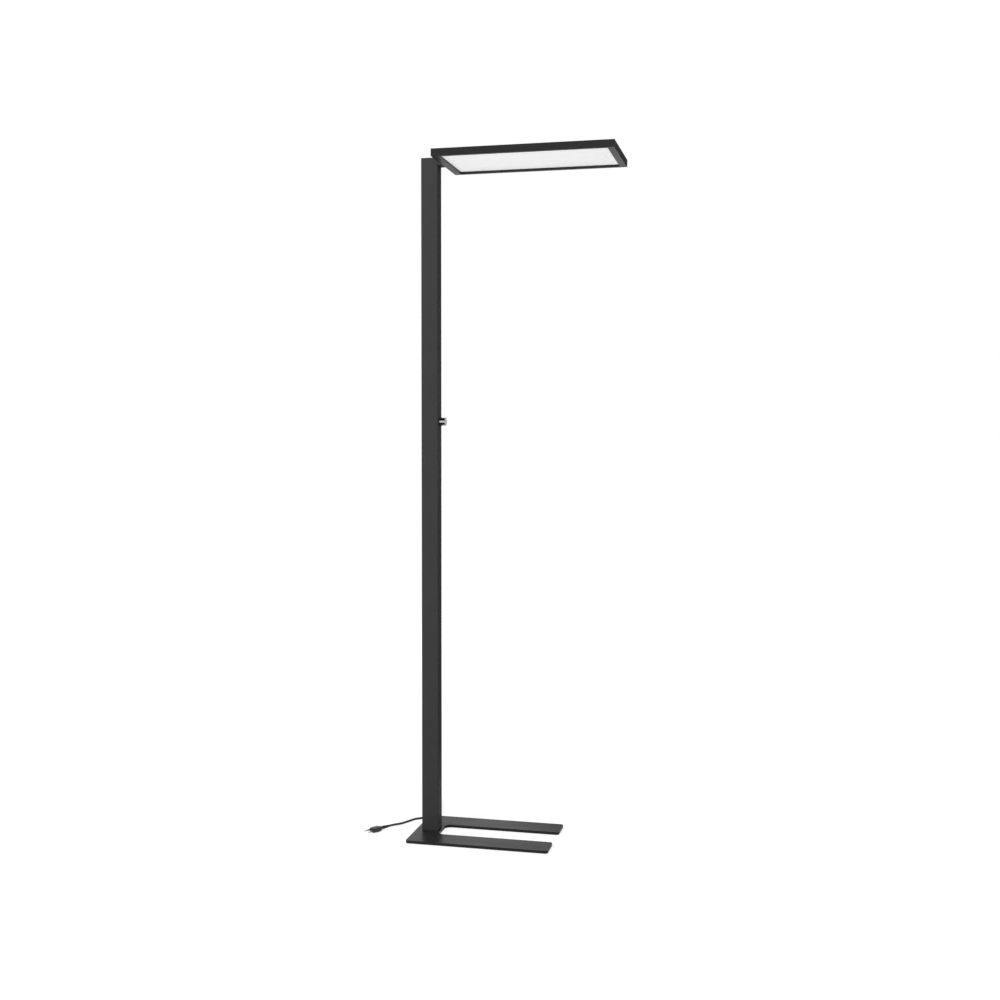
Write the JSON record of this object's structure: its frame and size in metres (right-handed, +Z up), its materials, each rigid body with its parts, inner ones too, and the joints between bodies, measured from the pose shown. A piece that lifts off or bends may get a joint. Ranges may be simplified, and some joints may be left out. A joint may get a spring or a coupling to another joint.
{
  "type": "office floor lamp",
  "caption": "Tall office floor lamp: rectangular pole on a U-shaped plate, flat rectangular light head reaching to one side, push-and-turn dimmer knob on the pole.",
  "frame": {"origin": "on the floor, on the pole's vertical axis, at the underside of the centre glide", "axes": "+Z up; +X along the light head and the base slot's open end; +Y to the side where the mains lead leaves the pole"},
  "size_m": [0.7335, 0.4313, 1.95],
  "materials": {
    "coated_steel": "satin powder coat, dark grey",
    "coated_aluminium": "satin powder coat, dark grey",
    "bare_aluminium": "mill finish",
    "zinc_steel": "zinc plated",
    "black_steel": "black oxide",
    "chrome_metal": "polished chrome plate",
    "brass_metal": "machined",
    "opal_plastic": "opal, matte",
    "clear_plastic": "clear acrylic",
    "white_plastic": "moulded",
    "black_plastic": "fine texture",
    "grey_plastic": "moulded",
    "cord_plastic": "flexible jacket, satin",
    "wire_plastic": "smooth jacket",
    "board": "white solder mask",
    "green_board": "green solder mask",
    "glide_rubber": "soft pad",
    "nickel_metal": "nickel plated"
  },
  "bodies": {
    "stand": {"base_plate": "coated_steel", "base_glides": "glide_rubber", "base_screws": "zinc_steel", "pole_foot_block": "bare_aluminium", "foot_side_screws": "black_steel", "pole_tube": "coated_aluminium", "pole_top_cap": "black_plastic", "frame_near_rail": "coated_aluminium", "frame_far_rail": "coated_aluminium", "frame_pole_end": "coated_aluminium", "frame_outer_end": "coated_aluminium", "corner_keys": "bare_aluminium", "key_grub_screws": "zinc_steel", "head_posts": "bare_aluminium", "lower_diffuser": "opal_plastic", "light_guide_plate": "clear_plastic", "reflector_sheet": "white_plastic", "heat_spreader": "bare_aluminium", "edge_led_strips": "board", "uplight_boards": "board", "board_screws": "zinc_steel", "top_cover": "coated_aluminium", "cover_screws": "black_steel", "upper_diffuser": "opal_plastic", "head_terminal": "white_plastic", "head_bracket": "coated_aluminium", "bracket_screws": "zinc_steel", "head_screws": "zinc_steel", "bracket_backing_plate": "zinc_steel", "electrics_tray": "zinc_steel", "tray_screws": "black_steel", "led_driver": "white_plastic", "driver_screws": "zinc_steel", "mains_terminal": "white_plastic", "terminal_screws": "zinc_steel", "inner_mains_lead": "cord_plastic", "supply_lead": "wire_plastic", "dimmer_lead": "wire_plastic", "head_lead": "wire_plastic", "led_wires": "wire_plastic", "dimmer_bushing": "nickel_metal", "dimmer_washer": "zinc_steel", "dimmer_nut": "nickel_metal", "dimmer_housing": "grey_plastic", "dimmer_board": "green_board", "return_spring": "zinc_steel", "cord_gland": "black_plastic", "gland_nut": "black_plastic", "cord_relief": "cord_plastic", "lead_to_hank": "cord_plastic", "lead_hank": "cord_plastic", "lead_to_plug": "cord_plastic", "lead_tie": "black_plastic", "plug_relief": "cord_plastic", "plug_body": "black_plastic", "plug_pins": "nickel_metal"},
    "push_carriage": {"push_plunger": "white_plastic"},
    "knob": {"dimmer_spindle": "brass_metal", "dimmer_knob": "chrome_metal", "knob_grub_screw": "black_steel"}
  },
  "joints": [
    {"name": "dimmer_push", "type": "slide", "parent": "stand", "child": "push_carriage", "axis": [-1, 0, 0], "range_m": [0, 0.0015], "stiffness_N_per_m": 2000, "springref_m": -0.001, "deforming": ["return_spring"]},
    {"name": "dimmer_turn", "type": "hinge", "parent": "push_carriage", "child": "knob", "pos_m": [0.035, 0, 1.2], "axis": [-1, 0, 0], "range_deg": [0, 300]}
  ]
}
